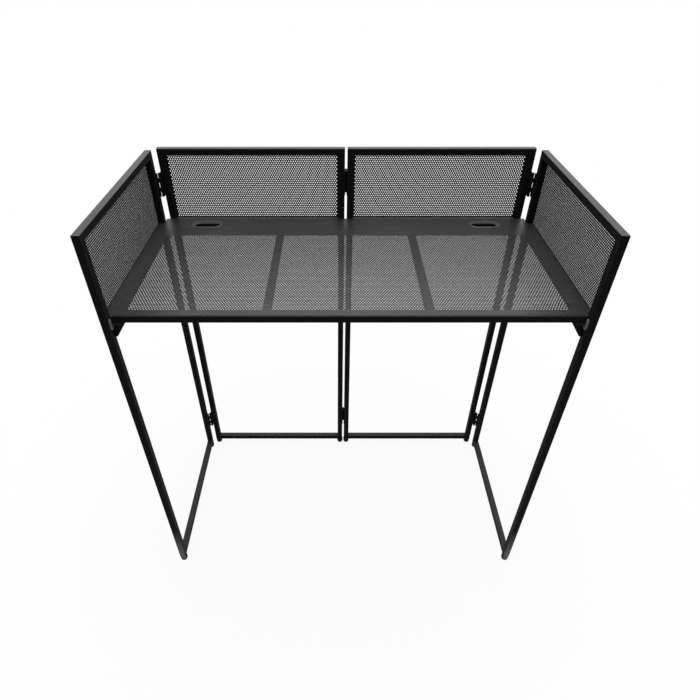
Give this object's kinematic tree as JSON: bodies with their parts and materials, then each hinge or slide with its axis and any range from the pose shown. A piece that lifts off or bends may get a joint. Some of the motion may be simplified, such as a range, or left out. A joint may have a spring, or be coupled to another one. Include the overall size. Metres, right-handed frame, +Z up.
{
  "type": "dj booth",
  "caption": "Folding tube-frame DJ booth: hinged panels of square steel tube with perforated screens, and a lift-off perforated table on gusset brackets.",
  "frame": {"origin": "on the floor, under the middle of the standing booth's box", "axes": "+X to the user's right, +Y from the user to the audience, +Z up"},
  "size_m": [1.204, 0.604, 1.304],
  "materials": {
    "black_powder_coat": "satin black powder coat on steel tube and plate",
    "perforated_sheet": "satin black powder coat on perforated steel sheet",
    "black_plastic": "moulded black plastic",
    "grey_plastic": "moulded grey plastic",
    "dark_steel": "dark plain steel"
  },
  "bodies": {
    "front_left": {"front_left_bottom_rail": "black_powder_coat", "front_left_feet": "black_plastic", "front_left_inner_stile": "black_powder_coat", "front_left_mid_rail": "black_powder_coat", "front_left_outer_stile": "black_powder_coat", "front_left_screen": "perforated_sheet", "front_left_top_rail": "black_powder_coat", "left_hinge_panel_leaves": "black_powder_coat", "left_hinge_pins": "dark_steel", "centre_hinge_left_leaves": "black_powder_coat", "centre_hinge_pins": "dark_steel"},
    "left_wing": {"left_wing_bottom_rail": "black_powder_coat", "left_wing_far_bracket": "black_powder_coat", "left_wing_far_stile": "black_powder_coat", "left_wing_feet": "black_plastic", "left_wing_mid_rail": "black_powder_coat", "left_wing_near_bracket": "black_powder_coat", "left_wing_near_stile": "black_powder_coat", "left_wing_screen": "perforated_sheet", "left_wing_table_pads": "grey_plastic", "left_wing_top_rail": "black_powder_coat", "left_hinge_wing_leaves": "black_powder_coat"},
    "front_right": {"front_right_bottom_rail": "black_powder_coat", "front_right_feet": "black_plastic", "front_right_inner_stile": "black_powder_coat", "front_right_mid_rail": "black_powder_coat", "front_right_outer_stile": "black_powder_coat", "front_right_screen": "perforated_sheet", "front_right_top_rail": "black_powder_coat", "centre_hinge_right_leaves": "black_powder_coat", "right_hinge_panel_leaves": "black_powder_coat", "right_hinge_pins": "dark_steel"},
    "right_wing": {"right_wing_bottom_rail": "black_powder_coat", "right_wing_far_bracket": "black_powder_coat", "right_wing_far_stile": "black_powder_coat", "right_wing_feet": "black_plastic", "right_wing_mid_rail": "black_powder_coat", "right_wing_near_bracket": "black_powder_coat", "right_wing_near_stile": "black_powder_coat", "right_wing_screen": "perforated_sheet", "right_wing_table_pads": "grey_plastic", "right_wing_top_rail": "black_powder_coat", "right_hinge_wing_leaves": "black_powder_coat"},
    "table": {"table_front_rail": "black_powder_coat", "table_grommets": "black_plastic", "table_left_cross_rail": "black_powder_coat", "table_left_rail": "black_powder_coat", "table_rear_rail": "black_powder_coat", "table_right_cross_rail": "black_powder_coat", "table_right_rail": "black_powder_coat", "table_top": "perforated_sheet"}
  },
  "joints": [
    {"name": "left_wing_fold", "type": "hinge", "parent": "front_left", "child": "left_wing", "pos_m": [-0.57275, 0.26375, 0], "axis": [0, 0, -1], "range_deg": [0, 90]},
    {"name": "centre_fold", "type": "hinge", "parent": "front_left", "child": "front_right", "pos_m": [0, 0.29825, 0], "axis": [0, 0, 1], "range_deg": [0, 180]},
    {"name": "right_wing_fold", "type": "hinge", "parent": "front_right", "child": "right_wing", "pos_m": [0.57275, 0.26375, 0], "axis": [0, 0, 1], "range_deg": [0, 90]},
    {"name": "table_lift", "type": "slide", "parent": "front_left", "child": "table", "axis": [0, 0, 1], "range_m": [0, 0.3]}
  ]
}
